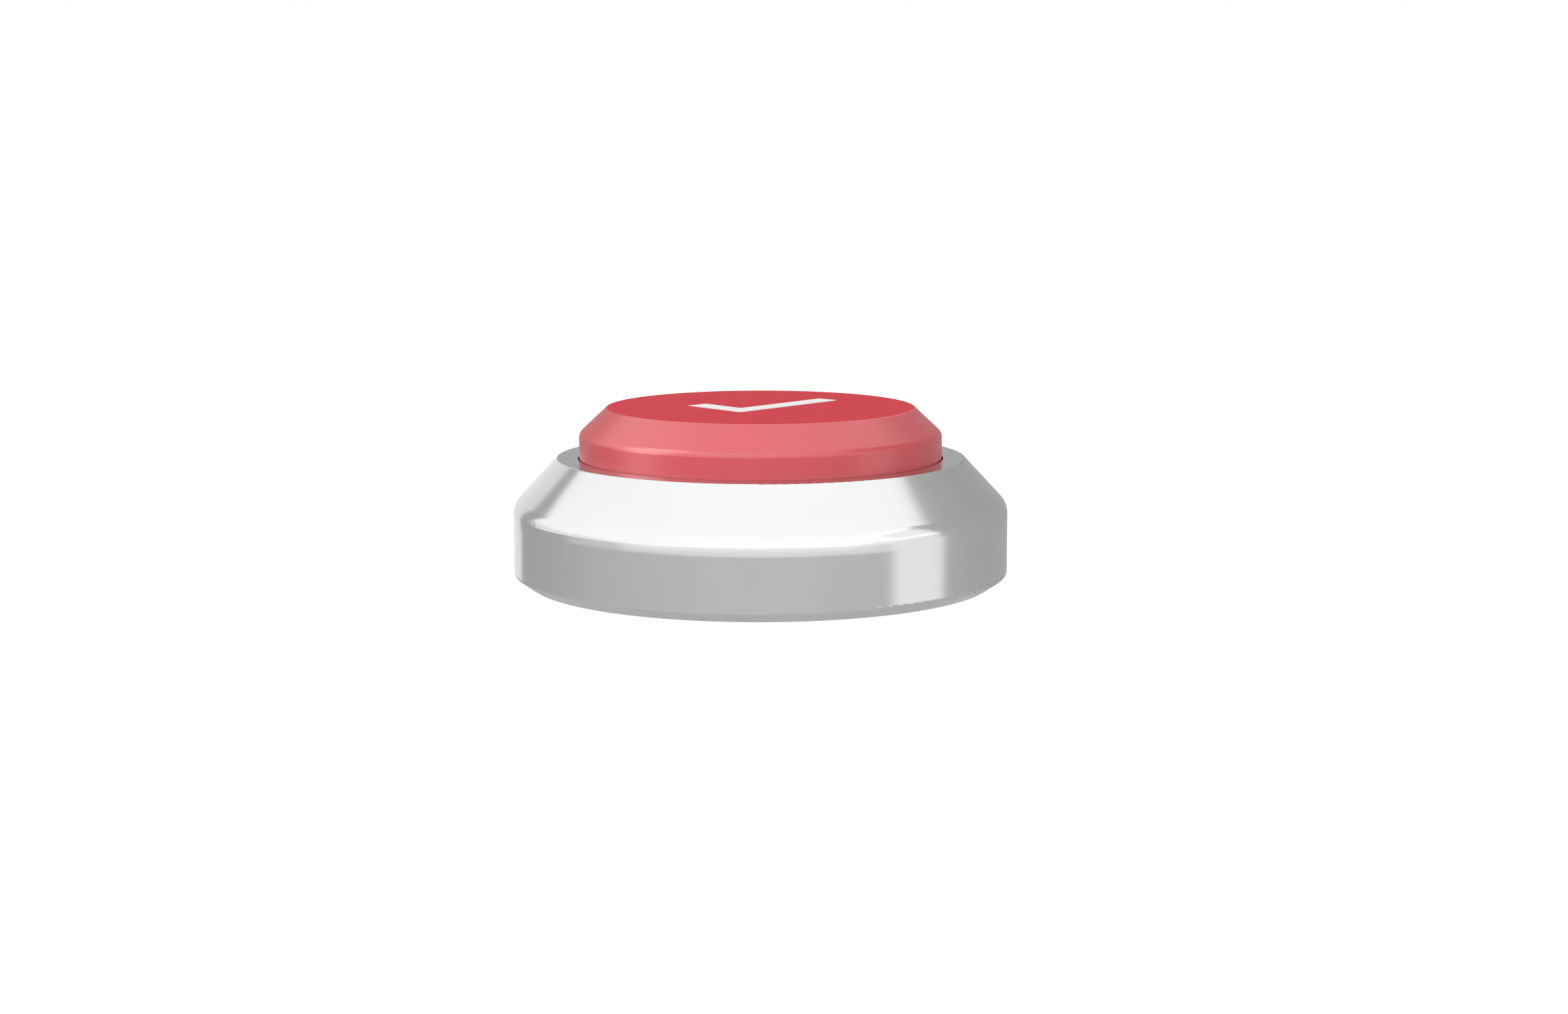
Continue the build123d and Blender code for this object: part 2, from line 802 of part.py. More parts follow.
with BuildPart() as switch_cover:
    with BuildSketch(Plane.XY.offset(switch_cover_z)):
        RectangleRounded(2 * switch_half_width, 2 * switch_half_width, switch_corner)
        Circle(stem_radius + stem_hole_gap, mode=Mode.SUBTRACT)
    extrude(amount=switch_cover_thickness)
    with BuildSketch(Plane.XY.offset(switch_top_z)):
        with GridLocations(switch_rivet_pitch, switch_rivet_pitch, 2, 2):
            Circle(switch_rivet_radius)
    extrude(amount=switch_rivet_height)
finish(switch_cover, "switch_cover")

with BuildPart() as switch_stem:
    columns([(0, 0)], stem_shoulder_radius, stem_foot_z, stem_shoulder_z)
    columns([(0, 0)], stem_radius, stem_shoulder_z, board_top_z + stem_top_lift)
    fillet(switch_stem.edges().group_by(Axis.Z)[-1], stem_top_fillet)
finish(switch_stem, "switch_stem")

# ---- Return springs -----------------------------------------------------------------------------

spring_bottom_z = sleeve_top_z + spring_wire_radius
spring_height = collar_bottom_z - sleeve_top_z - 2 * spring_wire_radius

for number, centre in enumerate(guide_centres, start=1):
    with BuildPart() as return_spring:
        with BuildLine(Plane((*centre, spring_bottom_z))):
            coil = Helix(
                pitch=spring_height / spring_turns, height=spring_height, radius=spring_mean_radius
            )
        with BuildSketch(Plane(origin=coil @ 0, z_dir=coil % 0)):
            Circle(spring_wire_radius)
        sweep(path=coil, is_frenet=True)
    finish(return_spring, f"return_spring_{number}")

# ---- Leads --------------------------------------------------------------------------------------

tab_x = -box_half_length + contact_thickness / 2
terminal_y = speaker_y + basket_neck_radius + 3.4
terminal_z = basket_front_z + terminal_thickness
lead_routes = {
    "battery_lead_red": [
        (tab_x, cell_y[0], contact_tab_top_z),
        (tab_x, cell_y[0], 23.2),
        (-16.5, 3.4, 23.6),
        (-16.5, 3.4, board_top_z),
    ],
    "battery_lead_black": [
        (tab_x, cell_y[1], contact_tab_top_z),
        (tab_x, cell_y[1], 23.0),
        (-14.5, 11.0, 23.4),
        (-14.5, 11.0, board_top_z),
    ],
    "speaker_lead_red": [
        (-2.4, terminal_y, terminal_z),
        (-2.4, terminal_y, 11.6),
        (-4.6, -5.0, 13.6),
        (-4.6, -5.0, board_bottom_z),
    ],
    "speaker_lead_black": [
        (2.4, terminal_y, terminal_z),
        (2.4, terminal_y, 11.2),
        (3.8, -5.6, 13.9),
        (3.8, -5.6, board_bottom_z),
    ],
}

for name, route in lead_routes.items():
    print(name, "arc radii", [round(radius, 2) for radius in arc_radii(route)])
    with BuildPart() as lead:
        with BuildLine():
            path = FilletPolyline(*route, radius=arc_radii(route))
        with BuildSketch(Plane(origin=path @ 0, z_dir=path % 0)):
            Circle(lead_radius)
        sweep(path=path)
    finish(lead, name)
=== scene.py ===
import json
import math

import bmesh
import bpy
from mathutils import Matrix, Vector


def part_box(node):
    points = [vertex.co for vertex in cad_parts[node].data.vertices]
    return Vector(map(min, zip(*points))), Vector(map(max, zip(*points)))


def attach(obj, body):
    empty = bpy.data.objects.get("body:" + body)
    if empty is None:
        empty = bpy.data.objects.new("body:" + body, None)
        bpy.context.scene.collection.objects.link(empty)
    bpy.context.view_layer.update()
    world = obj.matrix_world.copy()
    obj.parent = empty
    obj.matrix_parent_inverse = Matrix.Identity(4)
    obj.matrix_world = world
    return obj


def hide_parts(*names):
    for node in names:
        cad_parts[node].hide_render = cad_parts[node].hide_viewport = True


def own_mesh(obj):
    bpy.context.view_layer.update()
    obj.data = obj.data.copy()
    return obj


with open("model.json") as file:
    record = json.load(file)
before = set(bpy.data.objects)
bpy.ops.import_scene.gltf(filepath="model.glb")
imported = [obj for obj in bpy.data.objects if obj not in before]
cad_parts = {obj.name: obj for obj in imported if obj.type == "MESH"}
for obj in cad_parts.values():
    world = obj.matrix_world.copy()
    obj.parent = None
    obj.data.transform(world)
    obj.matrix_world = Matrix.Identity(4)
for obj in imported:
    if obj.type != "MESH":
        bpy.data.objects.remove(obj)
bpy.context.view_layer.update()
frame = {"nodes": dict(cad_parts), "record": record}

scene = bpy.context.scene
scene.view_settings.view_transform = "Standard"
scene.view_settings.look = "None"

MM = 0.001
NODES = frame["nodes"]

bezel_low, bezel_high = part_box("bezel")
BODY_RADIUS = (bezel_high.x - bezel_low.x) / 2
RIM_Z = bezel_low.z
CAP_TOP_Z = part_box("push_cap")[1].z


# ---- Camera, floor and light --------------------------------------------------------------------

# Camera: lens and sensor width in millimetres, place in metres, angles in radians
LENS, SENSOR_WIDTH = 62.95, 36.0
CAMERA_DISTANCE = 11.026 * BODY_RADIUS
CAMERA_HEIGHT = RIM_Z + 1.922 * BODY_RADIUS
PITCH_DOWN, TURN_RIGHT = 0.1462, 0.0086

# Studio walls at the front, at the sides and at the back: position along the ramp, brightness
STUDIO_WALLS = ((0.0, 0.75), (0.5, 0.625), (1.0, 0.465))
# Faint green tint of the walls, as shares of red, green and blue
WALL_TINT = (0.985, 1.0, 0.992)

FLOOR_HALF_WIDTH = 6.0

# A white tent of cards round the front and the left, open at the right and at the back, in metres
TENT_TOP, TENT_FRONT, TENT_LEFT = 1.7, -2.0, -2.4
TENT_RIGHT, TENT_REAR = 0.92 * TENT_TOP, 1.46 * TENT_TOP
TENT_RIGHT_END = -0.8
CEILING_RADIANCE = 0.86
# Each side is brighter higher up, and the left one is longer there: bottom and top height, radiance,
# left side's end
SIDE_STRIPS = (
    (-0.1, 0.3, 0.34, -1.1),
    (0.3, 0.7, 0.60, 2.1),
    (0.7, TENT_TOP, 0.86, 2.1),
)
# The low strip of the left side goes on to here, weaker
FADE_END, FADE_RADIANCE = 0.3, 0.16
# A faint card under the floor lifts what faces down
FLOOR_CARD_PLACE, FLOOR_CARD_WIDTH, FLOOR_CARD_RADIANCE = Vector((0, 0.6, -1.0)), 4.0, 0.08
# Single lights and cards, turned to the buzzer: azimuth, elevation, distance, width, height, radiance
KEY_LIGHT = (-24, 38, 1.6, 1.4, 1.1, 2.65)
LEFT_LIGHT = (-80, 26, 1.5, 0.75, 1.73, 2.4)
UPPER_RIGHT_CARD = (77, 35, 1.5, 0.72, 0.76, 0.70)
RIGHT_CARD = (76.5, -5, 1.5, 0.72, 1.73, 0.32)
RIGHT_CARD_HALO = (76.5, -5, 1.5 * 1.07, 0.92, 2.03, 0.23)
REAR_LEFT_CARD = (-158, 8, 1.5, 0.74, 1.0, 0.48)


def make_camera():
    """A medium lens from the front, a little above the deck."""
    data = bpy.data.cameras.new("camera")
    data.sensor_width = SENSOR_WIDTH
    data.lens = LENS
    data.clip_start = 0.01
    camera = bpy.data.objects.new("camera", data)
    scene.collection.objects.link(camera)
    camera.location = (0.0, -CAMERA_DISTANCE, CAMERA_HEIGHT)
    camera.rotation_euler = (math.pi / 2 - PITCH_DOWN, 0.0, -TURN_RIGHT)
    scene.camera = camera


def make_world():
    """White to the camera. To everything else, grey studio walls that are brighter at the front."""
    world = bpy.data.worlds.new("studio")
    scene.world = world
    world.use_nodes = True
    nodes, links = world.node_tree.nodes, world.node_tree.links
    nodes.clear()
    rays = nodes.new("ShaderNodeLightPath")
    seen = nodes.new("ShaderNodeBackground")
    seen.inputs["Color"].default_value = (1.0, 1.0, 1.0, 1.0)
    place = nodes.new("ShaderNodeTexCoord")
    split = nodes.new("ShaderNodeSeparateXYZ")
    links.new(place.outputs["Generated"], split.inputs[0])
    depth = nodes.new("ShaderNodeMapRange")
    depth.inputs["From Min"].default_value = -1.0
    links.new(split.outputs["Y"], depth.inputs["Value"])
    walls = nodes.new("ShaderNodeValToRGB")
    walls.color_ramp.elements.new(0.5)
    for element, (position, level) in zip(walls.color_ramp.elements, STUDIO_WALLS):
        element.position = position
        element.color = (*(level * share for share in WALL_TINT), 1.0)
    links.new(depth.outputs["Result"], walls.inputs["Fac"])
    unseen = nodes.new("ShaderNodeBackground")
    links.new(walls.outputs["Color"], unseen.inputs["Color"])
    mix = nodes.new("ShaderNodeMixShader")
    output = nodes.new("ShaderNodeOutputWorld")
    links.new(rays.outputs["Is Camera Ray"], mix.inputs["Fac"])
    links.new(unseen.outputs[0], mix.inputs[1])
    links.new(seen.outputs[0], mix.inputs[2])
    links.new(mix.outputs[0], output.inputs["Surface"])


def make_floor():
    """A plain floor, almost white. From below it is clear, so that the buzzer's underside shows."""
    mesh = bpy.data.meshes.new("floor")
    half = FLOOR_HALF_WIDTH
    mesh.from_pydata(
        [(-half, -half, 0), (half, -half, 0), (half, half, 0), (-half, half, 0)],
        [],
        [(0, 1, 2, 3)],
    )
    floor = bpy.data.objects.new("floor", mesh)
    scene.collection.objects.link(floor)
    material = bpy.data.materials.new("floor_paper")
    material.use_nodes = True
    shader = material.node_tree.nodes["Principled BSDF"]
    shader.inputs["Base Color"].default_value = (0.3, 0.3, 0.3, 1.0)
    shader.inputs["Roughness"].default_value = 0.9
    shader.inputs["Specular IOR Level"].default_value = 0.0
    shader.inputs["Emission Color"].default_value = (1.0, 1.0, 1.0, 1.0)
    shader.inputs["Emission Strength"].default_value = 1.0
    nodes, links = material.node_tree.nodes, material.node_tree.links
    face = nodes.new("ShaderNodeNewGeometry")
    clear = nodes.new("ShaderNodeBsdfTransparent")
    mix = nodes.new("ShaderNodeMixShader")
    links.new(face.outputs["Backfacing"], mix.inputs["Fac"])
    links.new(shader.outputs[0], mix.inputs[1])
    links.new(clear.outputs[0], mix.inputs[2])
    links.new(mix.outputs[0], nodes["Material Output"].inputs["Surface"])
    mesh.materials.append(material)
    floor.visible_diffuse = False
    floor.visible_glossy = False
    floor.visible_shadow = False


def towards(azimuth, elevation, distance):
    """Point seen from the buzzer. Azimuth 0 is the front, +90 the right."""
    a, e = math.radians(azimuth), math.radians(elevation)
    level = distance * math.cos(e)
    return Vector((level * math.sin(a), -level * math.cos(a), distance * math.sin(e)))


def panel(name, place, facing, width, height, radiance, diffuse=True, glossy=True, only=None):
    """A soft rectangular light, shining against the direction named facing.

    It can be kept out of matt light or out of gloss, and it can light only one node.
    """
    data = bpy.data.lights.new(name, "AREA")
    data.shape = "RECTANGLE"
    data.size = width
    data.size_y = height
    data.energy = radiance * math.pi * width * height
    light = bpy.data.objects.new(name, data)
    scene.collection.objects.link(light)
    light.location = place
    light.rotation_euler = facing.to_track_quat("Z", "Y").to_euler()
    light.visible_camera = False
    light.visible_diffuse = diffuse
    light.visible_glossy = glossy
    if only:
        receivers = bpy.data.collections.new(name)
        receivers.objects.link(NODES[only])
        light.light_linking.receiver_collection = receivers


def card(name, spot, **kinds):
    """A light or a card at one of the spots named above, turned to the buzzer."""
    azimuth, elevation, distance, width, height, radiance = spot
    place = towards(azimuth, elevation, distance)
    panel(name, place, place, width, height, radiance, **kinds)


def upright_card(name, near, far, low, high, radiance):
    """A card that stands over a line from near to far, from a low to a high level, facing inwards."""
    middle = (near + far) / 2
    along = far - near
    outward = Vector((along.y, -along.x, 0))
    if outward.dot(middle.to_3d()) < 0:
        outward.negate()
    place = Vector((middle.x, middle.y, (low + high) / 2))
    panel(name, place, outward, along.length, high - low, radiance, diffuse=False)


def make_tent():
    """The ceiling and the sides of the tent, seen only in gloss."""
    width, depth = TENT_RIGHT - TENT_LEFT, TENT_REAR - TENT_FRONT
    middle = Vector(((TENT_LEFT + TENT_RIGHT) / 2, (TENT_FRONT + TENT_REAR) / 2, TENT_TOP))
    panel("ceiling_card", middle, Vector((0, 0, 1)), width, depth, CEILING_RADIANCE, diffuse=False)
    front_left, front_right = Vector((TENT_LEFT, TENT_FRONT)), Vector((TENT_RIGHT, TENT_FRONT))
    right_end = Vector((TENT_RIGHT, TENT_RIGHT_END))
    for strip, (low, high, radiance, left_end_y) in enumerate(SIDE_STRIPS):
        left_end = Vector((TENT_LEFT, left_end_y))
        sides = ((front_left, front_right), (front_left, left_end), (front_right, right_end))
        for side, (near, far) in enumerate(sides):
            upright_card(f"side_card_{side}_{strip}", near, far, low, high, radiance)
    low, high, _, fade_start = SIDE_STRIPS[0]
    near, far = Vector((TENT_LEFT, fade_start)), Vector((TENT_LEFT, FADE_END))
    upright_card("left_low_card", near, far, low, high, FADE_RADIANCE)


make_camera()
make_world()
make_floor()
# The key only lights matt colour, and the cards are only seen in gloss
card("key_light", KEY_LIGHT, glossy=False)
make_tent()
card("left_light", LEFT_LIGHT, diffuse=False, only="push_cap")
card("upper_right_card", UPPER_RIGHT_CARD, diffuse=False, only="bezel")
panel(
    "floor_card", FLOOR_CARD_PLACE, Vector((0, 0, -1)), FLOOR_CARD_WIDTH, FLOOR_CARD_WIDTH,
    FLOOR_CARD_RADIANCE, diffuse=False,
)
card("right_card", RIGHT_CARD, diffuse=False)
card("right_card_halo", RIGHT_CARD_HALO, diffuse=False)
card("rear_left_card", REAR_LEFT_CARD, diffuse=False, only="bezel")


# ---- Materials ----------------------------------------------------------------------------------

class Shader:
    """A node material under construction: small helpers that keep each recipe short."""

    def __init__(self, name):
        self.material = bpy.data.materials.new(name)
        self.material.use_nodes = True
        self.nodes = self.material.node_tree.nodes
        self.links = self.material.node_tree.links
        self.surface = self.nodes["Principled BSDF"]
        self.place = self.nodes.new("ShaderNodeTexCoord")

    def set(self, **values):
        """Constants on the shader's own sockets."""
        for socket, value in values.items():
            self.surface.inputs[socket.replace("_", " ")].default_value = value

    def link(self, source, target):
        self.links.new(source, target)

    def noise(self, scale, detail=4.0, rough=0.5, stretch=(1, 1, 1)):
        """Fractal noise at a scale in repeats per metre."""
        mapping = self.nodes.new("ShaderNodeMapping")
        mapping.inputs["Scale"].default_value = stretch
        self.link(self.place.outputs["Object"], mapping.inputs["Vector"])
        node = self.nodes.new("ShaderNodeTexNoise")
        node.inputs["Scale"].default_value = scale
        node.inputs["Detail"].default_value = detail
        node.inputs["Roughness"].default_value = rough
        self.link(mapping.outputs[0], node.inputs["Vector"])
        return node.outputs["Fac"]

    def ramp(self, source, *stops):
        """Colour ramp through (position, colour) stops."""
        node = self.nodes.new("ShaderNodeValToRGB")
        ramp = node.color_ramp
        while len(ramp.elements) < len(stops):
            ramp.elements.new(0.5)
        for element, (position, colour) in zip(ramp.elements, stops):
            element.position = position
            element.color = (*colour, 1.0)
        self.link(source, node.inputs["Fac"])
        return node.outputs["Color"]

    def span(self, source, low, high, out_low, out_high, smooth=False):
        """Map a value from one range to another."""
        node = self.nodes.new("ShaderNodeMapRange")
        if smooth:
            node.interpolation_type = "SMOOTHSTEP"
        for socket, value in zip(("From Min", "From Max", "To Min", "To Max"),
                                 (low, high, out_low, out_high)):
            node.inputs[socket].default_value = value
        self.link(source, node.inputs["Value"])
        return node.outputs["Result"]

    def math(self, operation, a, b=None):
        node = self.nodes.new("ShaderNodeMath")
        node.operation = operation
        for index, value in enumerate((a, b)):
            if value is None:
                continue
            if isinstance(value, (int, float)):
                node.inputs[index].default_value = value
            else:
                self.link(value, node.inputs[index])
        return node.outputs[0]

    def axis(self, letter):
        """One object coordinate, in metres."""
        node = self.nodes.new("ShaderNodeSeparateXYZ")
        self.link(self.place.outputs["Object"], node.inputs[0])
        return node.outputs[letter]

    def mix(self, factor, a, b, blend="MIX"):
        """Blend two colours by a factor, each a constant or a socket."""
        node = self.nodes.new("ShaderNodeMix")
        node.data_type = "RGBA"
        node.blend_type = blend
        for socket, value in ((node.inputs["Factor"], factor), (node.inputs[6], a), (node.inputs[7], b)):
            if isinstance(value, float):
                socket.default_value = value
            elif isinstance(value, tuple):
                socket.default_value = (*value, 1.0)
            else:
                self.link(value, socket)
        return node.outputs[2]

    def colour(self, source):
        self.link(source, self.surface.inputs["Base Color"])

    def roughness(self, source):
        self.link(source, self.surface.inputs["Roughness"])

    def bump(self, height, distance, strength=1.0):
        """Relief of a height map, stacked on any relief that is already there."""
        node = self.nodes.new("ShaderNodeBump")
        node.inputs["Strength"].default_value = strength
        node.inputs["Distance"].default_value = distance
        self.link(height, node.inputs["Height"])
        target = self.surface.inputs["Normal"]
        if target.links:
            self.link(target.links[0].from_socket, node.inputs["Normal"])
        self.link(node.outputs[0], target)


# Soft light just under the silver shoulder: a shallow relief between two shares of the bezel's height
SOFT_BOTTOM, SOFT_TOP = 0.49, 0.68
SOFT_DEPTH = 0.0005


def silver_coating():
    """Vacuum-silvered plastic: satin, faintly mottled, with a very fine grain."""
    m = Shader("silver_coating")
    m.set(Metallic=1.0)
    base, lift = (0.610, 0.622, 0.617), (0.640, 0.650, 0.645)
    m.colour(m.ramp(m.noise(90, 3.0), (0.3, base), (0.75, lift)))
    fine = m.noise(9000, 2.0)
    broad = m.noise(240, 5.0)
    m.roughness(m.span(m.math("ADD", fine, broad), 0.6, 1.4, 0.13, 0.17))
    m.bump(fine, 0.000004, 0.35)
    height = bezel_high.z - bezel_low.z
    soft_low, soft_high = bezel_low.z + SOFT_BOTTOM * height, bezel_low.z + SOFT_TOP * height
    m.bump(m.span(m.axis("Z"), soft_low, soft_high, 1.0, 0.0, smooth=True), SOFT_DEPTH)
    return m.material


def red_cap(name, specular, ior, rough):
    """Moulded red plastic with a light orange-peel skin."""
    m = Shader(name)
    m.set(Specular_IOR_Level=specular, IOR=ior)
    deep, bright = (0.585, 0.019, 0.033), (0.615, 0.022, 0.038)
    m.colour(m.ramp(m.noise(120, 4.0), (0.3, deep), (0.7, bright)))
    m.roughness(m.span(m.noise(300, 5.0), 0.3, 0.7, *rough))
    m.bump(m.noise(1400, 2.0), 0.000005, 0.3)
    m.bump(m.noise(11000, 2.0), 0.000002, 0.3)
    return m.material


def moulded_plastic(name, dark, light, scale=2600, depth=0.00003, rough=(0.5, 0.66)):
    """Spark-textured plastic with a faint random mottle."""
    m = Shader(name)
    m.set(Specular_IOR_Level=0.45)
    texture = m.noise(scale, 3.0)
    m.colour(m.ramp(m.noise(160, 5.0, 0.6), (0.32, dark), (0.72, light)))
    m.roughness(m.span(texture, 0.3, 0.7, *rough))
    m.bump(texture, depth, 0.5)
    return m.material


def rubber():
    """Soft black rubber with a dusty bloom."""
    m = Shader("foot_rubber")
    m.set(Specular_IOR_Level=0.35)
    m.colour(m.ramp(m.noise(500, 6.0, 0.65), (0.35, (0.018, 0.018, 0.019)), (0.75, (0.05, 0.05, 0.048))))
    m.roughness(m.span(m.noise(900, 4.0), 0.3, 0.7, 0.72, 0.9))
    m.bump(m.noise(3500, 3.0), 0.00004, 0.5)
    return m.material


def drawn_metal(name, low, high, stretch=(1, 1, 1)):
    """Plated or drawn metal with fine lines along one direction."""
    m = Shader(name)
    m.set(Metallic=1.0)
    lines = m.noise(1800, 4.0, 0.6, stretch)
    m.colour(m.ramp(m.noise(260, 4.0), (0.3, low), (0.72, high)))
    m.roughness(m.span(lines, 0.3, 0.7, 0.22, 0.36))
    m.bump(lines, 0.000012, 0.35)
    return m.material


def cell_jacket(name, along):
    """Printed cell jacket: a plain two-tone sleeve, bare metal at both ends.

    The nub is at the cell's +X end where along is 1, and at its -X end where it is -1.
    """
    m = Shader(name)
    low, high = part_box(name.replace("_jacket", ""))
    length = high.x - low.x
    nub = high.x if along > 0 else low.x
    gap = m.math("ABSOLUTE", m.math("SUBTRACT", m.axis("X"), nub))
    place = m.span(gap, 0.0, length, 0.0, 1.0)
    bare, band, body = (0.62, 0.62, 0.60), (0.55, 0.56, 0.55), (0.035, 0.12, 0.10)
    sleeve = m.ramp(place, (0.0, bare), (0.028, band), (0.030, band), (0.24, band), (0.244, body),
                    (0.975, body), (0.979, bare))
    wear = m.ramp(m.noise(420, 6.0, 0.6), (0.35, (0.88, 0.88, 0.88)), (0.65, (1.0, 1.0, 1.0)))
    m.colour(m.mix(1.0, sleeve, wear, "MULTIPLY"))
    m.set(Metallic=0.55)
    m.roughness(m.span(m.noise(700, 4.0), 0.3, 0.7, 0.26, 0.38))
    m.bump(m.noise(1600, 3.0), 0.00001, 0.3)
    return m.material


def board_laminate():
    """Green solder mask over copper tracks, with glass weave under it."""
    m = Shader("board_laminate")
    m.set(Specular_IOR_Level=0.5, Coat_Weight=0.4, Coat_Roughness=0.12)
    tracks = m.nodes.new("ShaderNodeTexBrick")
    tracks.inputs["Scale"].default_value = 260.0
    tracks.inputs["Mortar Size"].default_value = 0.09
    tracks.inputs["Mortar Smooth"].default_value = 0.1
    tracks.inputs["Brick Width"].default_value = 1.1
    tracks.inputs["Row Height"].default_value = 0.32
    m.link(m.place.outputs["Object"], tracks.inputs["Vector"])
    blotch = m.math("GREATER_THAN", m.noise(120, 1.0), 0.5)
    copper = m.math("MULTIPLY", tracks.outputs["Fac"], blotch)
    weave = m.noise(5200, 2.0)
    mask = m.ramp(weave, (0.3, (0.012, 0.105, 0.038)), (0.7, (0.018, 0.135, 0.05)))
    m.colour(m.mix(copper, mask, (0.06, 0.27, 0.09)))
    m.roughness(m.span(weave, 0.3, 0.7, 0.28, 0.4))
    m.bump(copper, 0.00003, 0.6)
    m.bump(weave, 0.00001, 0.25)
    return m.material


def resistor_lacquer():
    """Buff lacquer with plain colour rings along X, and tinned wire beyond the body."""
    m = Shader("resistor_body")
    low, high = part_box("resistors")
    place = m.span(m.axis("X"), low.x, high.x, 0.0, 1.0)
    wire, buff = (0.6, 0.6, 0.58), (0.62, 0.47, 0.27)
    ring_a, ring_b, ring_c = (0.25, 0.07, 0.02), (0.02, 0.02, 0.02), (0.5, 0.04, 0.02)
    ramp = m.ramp(place, (0.0, wire), (0.245, buff), (0.33, ring_a), (0.37, buff), (0.45, ring_b),
                  (0.49, buff), (0.57, ring_c), (0.61, buff), (0.755, wire))
    ramp.node.color_ramp.interpolation = "CONSTANT"
    m.colour(ramp)
    m.roughness(m.span(m.noise(1200, 4.0), 0.3, 0.7, 0.24, 0.36))
    m.bump(m.noise(2400, 3.0), 0.00001, 0.3)
    return m.material


def soft_insulation(name, dark, light):
    """Flexible lead insulation with faint extrusion lines."""
    m = Shader(name)
    m.set(Specular_IOR_Level=0.5)
    m.colour(m.ramp(m.noise(800, 4.0), (0.3, dark), (0.7, light)))
    m.roughness(m.span(m.noise(1500, 3.0), 0.3, 0.7, 0.34, 0.46))
    m.bump(m.noise(3000, 2.0), 0.00001, 0.3)
    return m.material


# Distance between the speaker cone's formed ripples, in metres
RIPPLE_PITCH = 0.0011


def formed_film():
    """Speaker cone: thin amber film with formed ripples round its axis."""
    m = Shader("cone_film")
    low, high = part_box("speaker_cone")
    centre_y = (low.y + high.y) / 2
    across = m.math("SUBTRACT", m.axis("Y"), centre_y)
    radius = m.math("SQRT", m.math("ADD", m.math("POWER", m.axis("X"), 2.0),
                                   m.math("POWER", across, 2.0)))
    ripple = m.math("SINE", m.math("MULTIPLY", radius, 2 * math.pi / RIPPLE_PITCH))
    m.colour(m.ramp(m.noise(600, 4.0), (0.3, (0.16, 0.12, 0.06)), (0.7, (0.22, 0.17, 0.09))))
    m.roughness(m.span(m.noise(1400, 3.0), 0.3, 0.7, 0.3, 0.45))
    m.bump(ripple, 0.00012, 0.5)
    return m.material


def pressed_card():
    """Grey-brown card with loose fibres."""
    m = Shader("gasket_card")
    fibres = m.noise(3800, 6.0, 0.7, (1, 3, 1))
    m.colour(m.ramp(fibres, (0.3, (0.16, 0.13, 0.10)), (0.7, (0.30, 0.26, 0.21))))
    m.roughness(m.span(fibres, 0.3, 0.7, 0.8, 0.95))
    m.bump(fibres, 0.00004, 0.6)
    return m.material


def print_ink():
    """White pad-printed ink: almost flat, a little uneven where it is thin."""
    m = Shader("print_ink")
    m.set(Specular_IOR_Level=0.3)
    m.colour(m.ramp(m.noise(2200, 5.0, 0.6), (0.3, (0.93, 0.92, 0.92)), (0.6, (1.0, 1.0, 1.0))))
    m.roughness(m.span(m.noise(1800, 3.0), 0.3, 0.7, 0.42, 0.55))
    m.bump(m.noise(6000, 2.0), 0.000004, 0.3)
    return m.material


MATERIALS = {
    "silver_coating": silver_coating(),
    "red_cap": red_cap("red_cap", 1.0, 1.6, (0.30, 0.33)),
    "base_plastic": moulded_plastic("base_plastic", (0.028, 0.028, 0.029), (0.048, 0.048, 0.049)),
    "foot_rubber": rubber(),
    "screw_steel": drawn_metal("screw_steel", (0.46, 0.46, 0.47), (0.58, 0.58, 0.57)),
    "contact_steel": drawn_metal("contact_steel", (0.60, 0.60, 0.57), (0.72, 0.71, 0.68), (1, 1, 0.2)),
    "board_laminate": board_laminate(),
    "black_epoxy": moulded_plastic("black_epoxy", (0.018, 0.018, 0.02), (0.034, 0.034, 0.036), 5200,
                                   0.000012, (0.42, 0.56)),
    "capacitor_sleeve": moulded_plastic("capacitor_sleeve", (0.02, 0.03, 0.14), (0.03, 0.045, 0.2),
                                        900, 0.00001, (0.25, 0.34)),
    "resistor_body": resistor_lacquer(),
    "spring_wire": drawn_metal("spring_wire", (0.52, 0.52, 0.51), (0.66, 0.65, 0.64), (1, 1, 0.15)),
    "magnet_ferrite": moulded_plastic("magnet_ferrite", (0.035, 0.035, 0.037), (0.075, 0.073, 0.07),
                                      1600, 0.00003, (0.4, 0.6)),
    "cone_film": formed_film(),
    "gasket_card": pressed_card(),
    "lead_red": soft_insulation("lead_red", (0.42, 0.012, 0.012), (0.55, 0.02, 0.018)),
    "lead_black": soft_insulation("lead_black", (0.012, 0.012, 0.012), (0.024, 0.024, 0.024)),
}
CELL_MATERIALS = {
    "cell_1": cell_jacket("cell_1_jacket", -1),
    "cell_2": cell_jacket("cell_2_jacket", 1),
}
INK = print_ink()
CAP_TOP = red_cap("red_cap_top", 0.3, 1.5, (0.74, 0.80))

# Every CAD node gets its own slot's material
for row in frame["record"]["subparts"]:
    node, slot = row["node"], row["material_slot"]
    NODES[node].data.materials.clear()
    NODES[node].data.materials.append(CELL_MATERIALS.get(node) or MATERIALS[slot])

# The cap's flat top has a duller finish than its sides. A face is on it when its normal points up by
# at least this much and it lies within this depth.
TOP_LEVEL, TOP_DEPTH = 0.98, 0.1 * MM
cap = NODES["push_cap"].data
cap.materials.append(CAP_TOP)
for polygon in cap.polygons:
    if polygon.normal.z > TOP_LEVEL and polygon.center.z > CAP_TOP_Z - TOP_DEPTH:
        polygon.material_index = 1


# ---- Pieces -------------------------------------------------------------------------------------

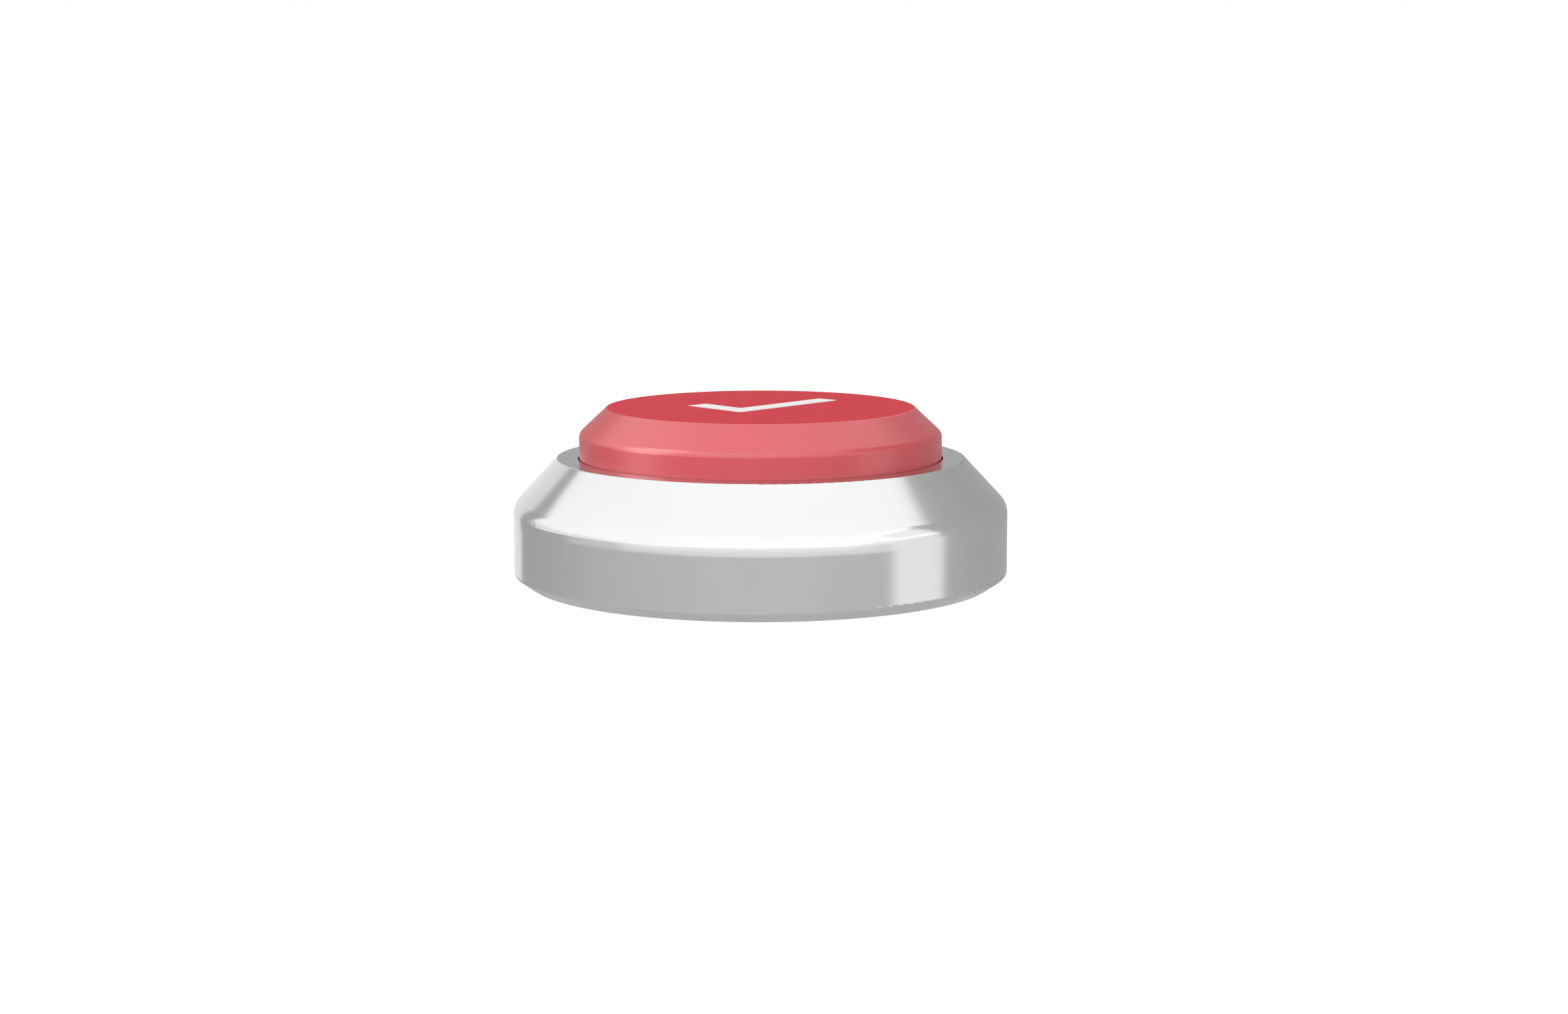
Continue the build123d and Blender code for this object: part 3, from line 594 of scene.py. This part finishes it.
def add_piece(name, mesh, material, body):
    """Put a finished mesh in the scene and on its body."""
    piece = bpy.data.objects.new(name, mesh)
    scene.collection.objects.link(piece)
    mesh.materials.clear()
    mesh.materials.append(material)
    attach(piece, body)
    return piece


def rounded_outline(points, radii, steps=10):
    """Closed 2-D outline through corner points, each rounded to its own radius."""
    outline = []
    count = len(points)
    for i, (corner, radius) in enumerate(zip(points, radii)):
        here = Vector(corner)
        back = (Vector(points[i - 1]) - here).normalized()
        ahead = (Vector(points[(i + 1) % count]) - here).normalized()
        half = back.angle(ahead) / 2
        centre = here + (back + ahead).normalized() * radius / math.sin(half)
        start = here + back * radius / math.tan(half) - centre
        end = here + ahead * radius / math.tan(half) - centre
        swept = start.angle_signed(end)
        for k in range(steps + 1):
            turn = Matrix.Rotation(-swept * k / steps, 2)
            outline.append(centre + turn @ start)
    return outline


def raised_print(name, points, radii, bottom_z, top_z):
    """A thin flat print with rounded corners, from a closed outline."""
    form = bmesh.new()
    outline = rounded_outline(points, radii)
    bottom, top = (
        [form.verts.new((p.x, p.y, z)) for p in outline] for z in (bottom_z, top_z)
    )
    for i in range(len(outline)):
        form.faces.new((bottom[i - 1], bottom[i], top[i], top[i - 1]))
    form.faces.new(bottom)
    form.faces.new(top)
    bmesh.ops.recalc_face_normals(form, faces=form.faces)
    mesh = bpy.data.meshes.new(name)
    form.to_mesh(mesh)
    form.free()
    return mesh


def make_cap_print():
    """A generic tick on the cap's flat top, in place of lettering."""
    stroke = 4.4 * MM
    elbow = Vector((-3.6 * MM, -6.4 * MM))
    short_end = Vector((-11.6 * MM, 2.6 * MM))
    long_end = Vector((12.6 * MM, 11.4 * MM))
    arm_in = (short_end - elbow).normalized()
    arm_out = (long_end - elbow).normalized()
    side_in = Vector((-arm_in.y, arm_in.x)) * stroke / 2
    side_out = Vector((arm_out.y, -arm_out.x)) * stroke / 2
    half = arm_in.angle(arm_out) / 2
    inward = (arm_in + arm_out).normalized() * (stroke / 2) / math.sin(half)
    points = [
        short_end + side_in,
        elbow - inward,
        long_end + side_out,
        long_end - side_out,
        elbow + inward,
        short_end - side_in,
    ]
    radii = [0.5 * MM, 0.8 * MM, 0.5 * MM, 0.5 * MM, 0.2 * MM, 0.5 * MM]
    sunk, ink_height = 0.01 * MM, 0.05 * MM
    mesh = raised_print("cap_print", points, radii, CAP_TOP_Z - sunk, CAP_TOP_Z + ink_height)
    add_piece("cap_print", mesh, INK, "button")


def sweep(name, path, radius, sides=10):
    """A round wire along a list of points, with closed ends."""
    form = bmesh.new()
    rings = []
    count = len(path)
    for i, point in enumerate(path):
        ahead = (path[min(i + 1, count - 1)] - path[max(i - 1, 0)]).normalized()
        side = ahead.cross(Vector((0, 0, 1))).normalized()
        up = side.cross(ahead)
        rings.append([
            form.verts.new(point + radius * (math.cos(a) * side + math.sin(a) * up))
            for a in (2 * math.pi * k / sides for k in range(sides))
        ])
    for ring, after in zip(rings, rings[1:]):
        for k in range(sides):
            j = (k + 1) % sides
            form.faces.new((ring[k], ring[j], after[j], after[k]))
    form.faces.new(rings[0])
    form.faces.new(rings[-1])
    bmesh.ops.recalc_face_normals(form, faces=form.faces)
    for face in form.faces:
        face.smooth = len(face.verts) == 4
    mesh = bpy.data.meshes.new(name)
    form.to_mesh(mesh)
    form.free()
    return mesh


def make_return_spring(number):
    """A compression spring whose end turns are closed and ground flat."""
    node = f"return_spring_{number}"
    name = f"spring_coil_{number}"
    low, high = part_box(node)
    wire = 0.25 * MM
    radius = (high.x - low.x) / 2 - wire
    middle = (low + high) / 2
    open_turns, closed_turns, steps = 5.0, 1.1, 30
    closed_pitch = 2.1 * wire
    start_z, end_z = low.z + 0.5 * wire, high.z - 0.5 * wire
    open_pitch = (end_z - start_z - 2 * closed_turns * closed_pitch) / open_turns
    turns = open_turns + 2 * closed_turns
    path = []
    for i in range(int(turns * steps) + 1):
        t = i / steps
        in_start, in_end = min(t, closed_turns), max(t - closed_turns - open_turns, 0.0)
        z = start_z + (in_start + in_end) * closed_pitch + (t - in_start - in_end) * open_pitch
        angle = 2 * math.pi * t
        x, y = middle.x + radius * math.cos(angle), middle.y + radius * math.sin(angle)
        path.append(Vector((x, y, z)))
    mesh = sweep(name, path, wire)
    # The end turns are ground flat
    for vertex in mesh.vertices:
        vertex.co.z = min(max(vertex.co.z, low.z), high.z)
    piece = add_piece(name, mesh, MATERIALS["spring_wire"], "housing")
    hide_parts(node)
    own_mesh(piece)


make_cap_print()
for number in (1, 2, 3):
    make_return_spring(number)
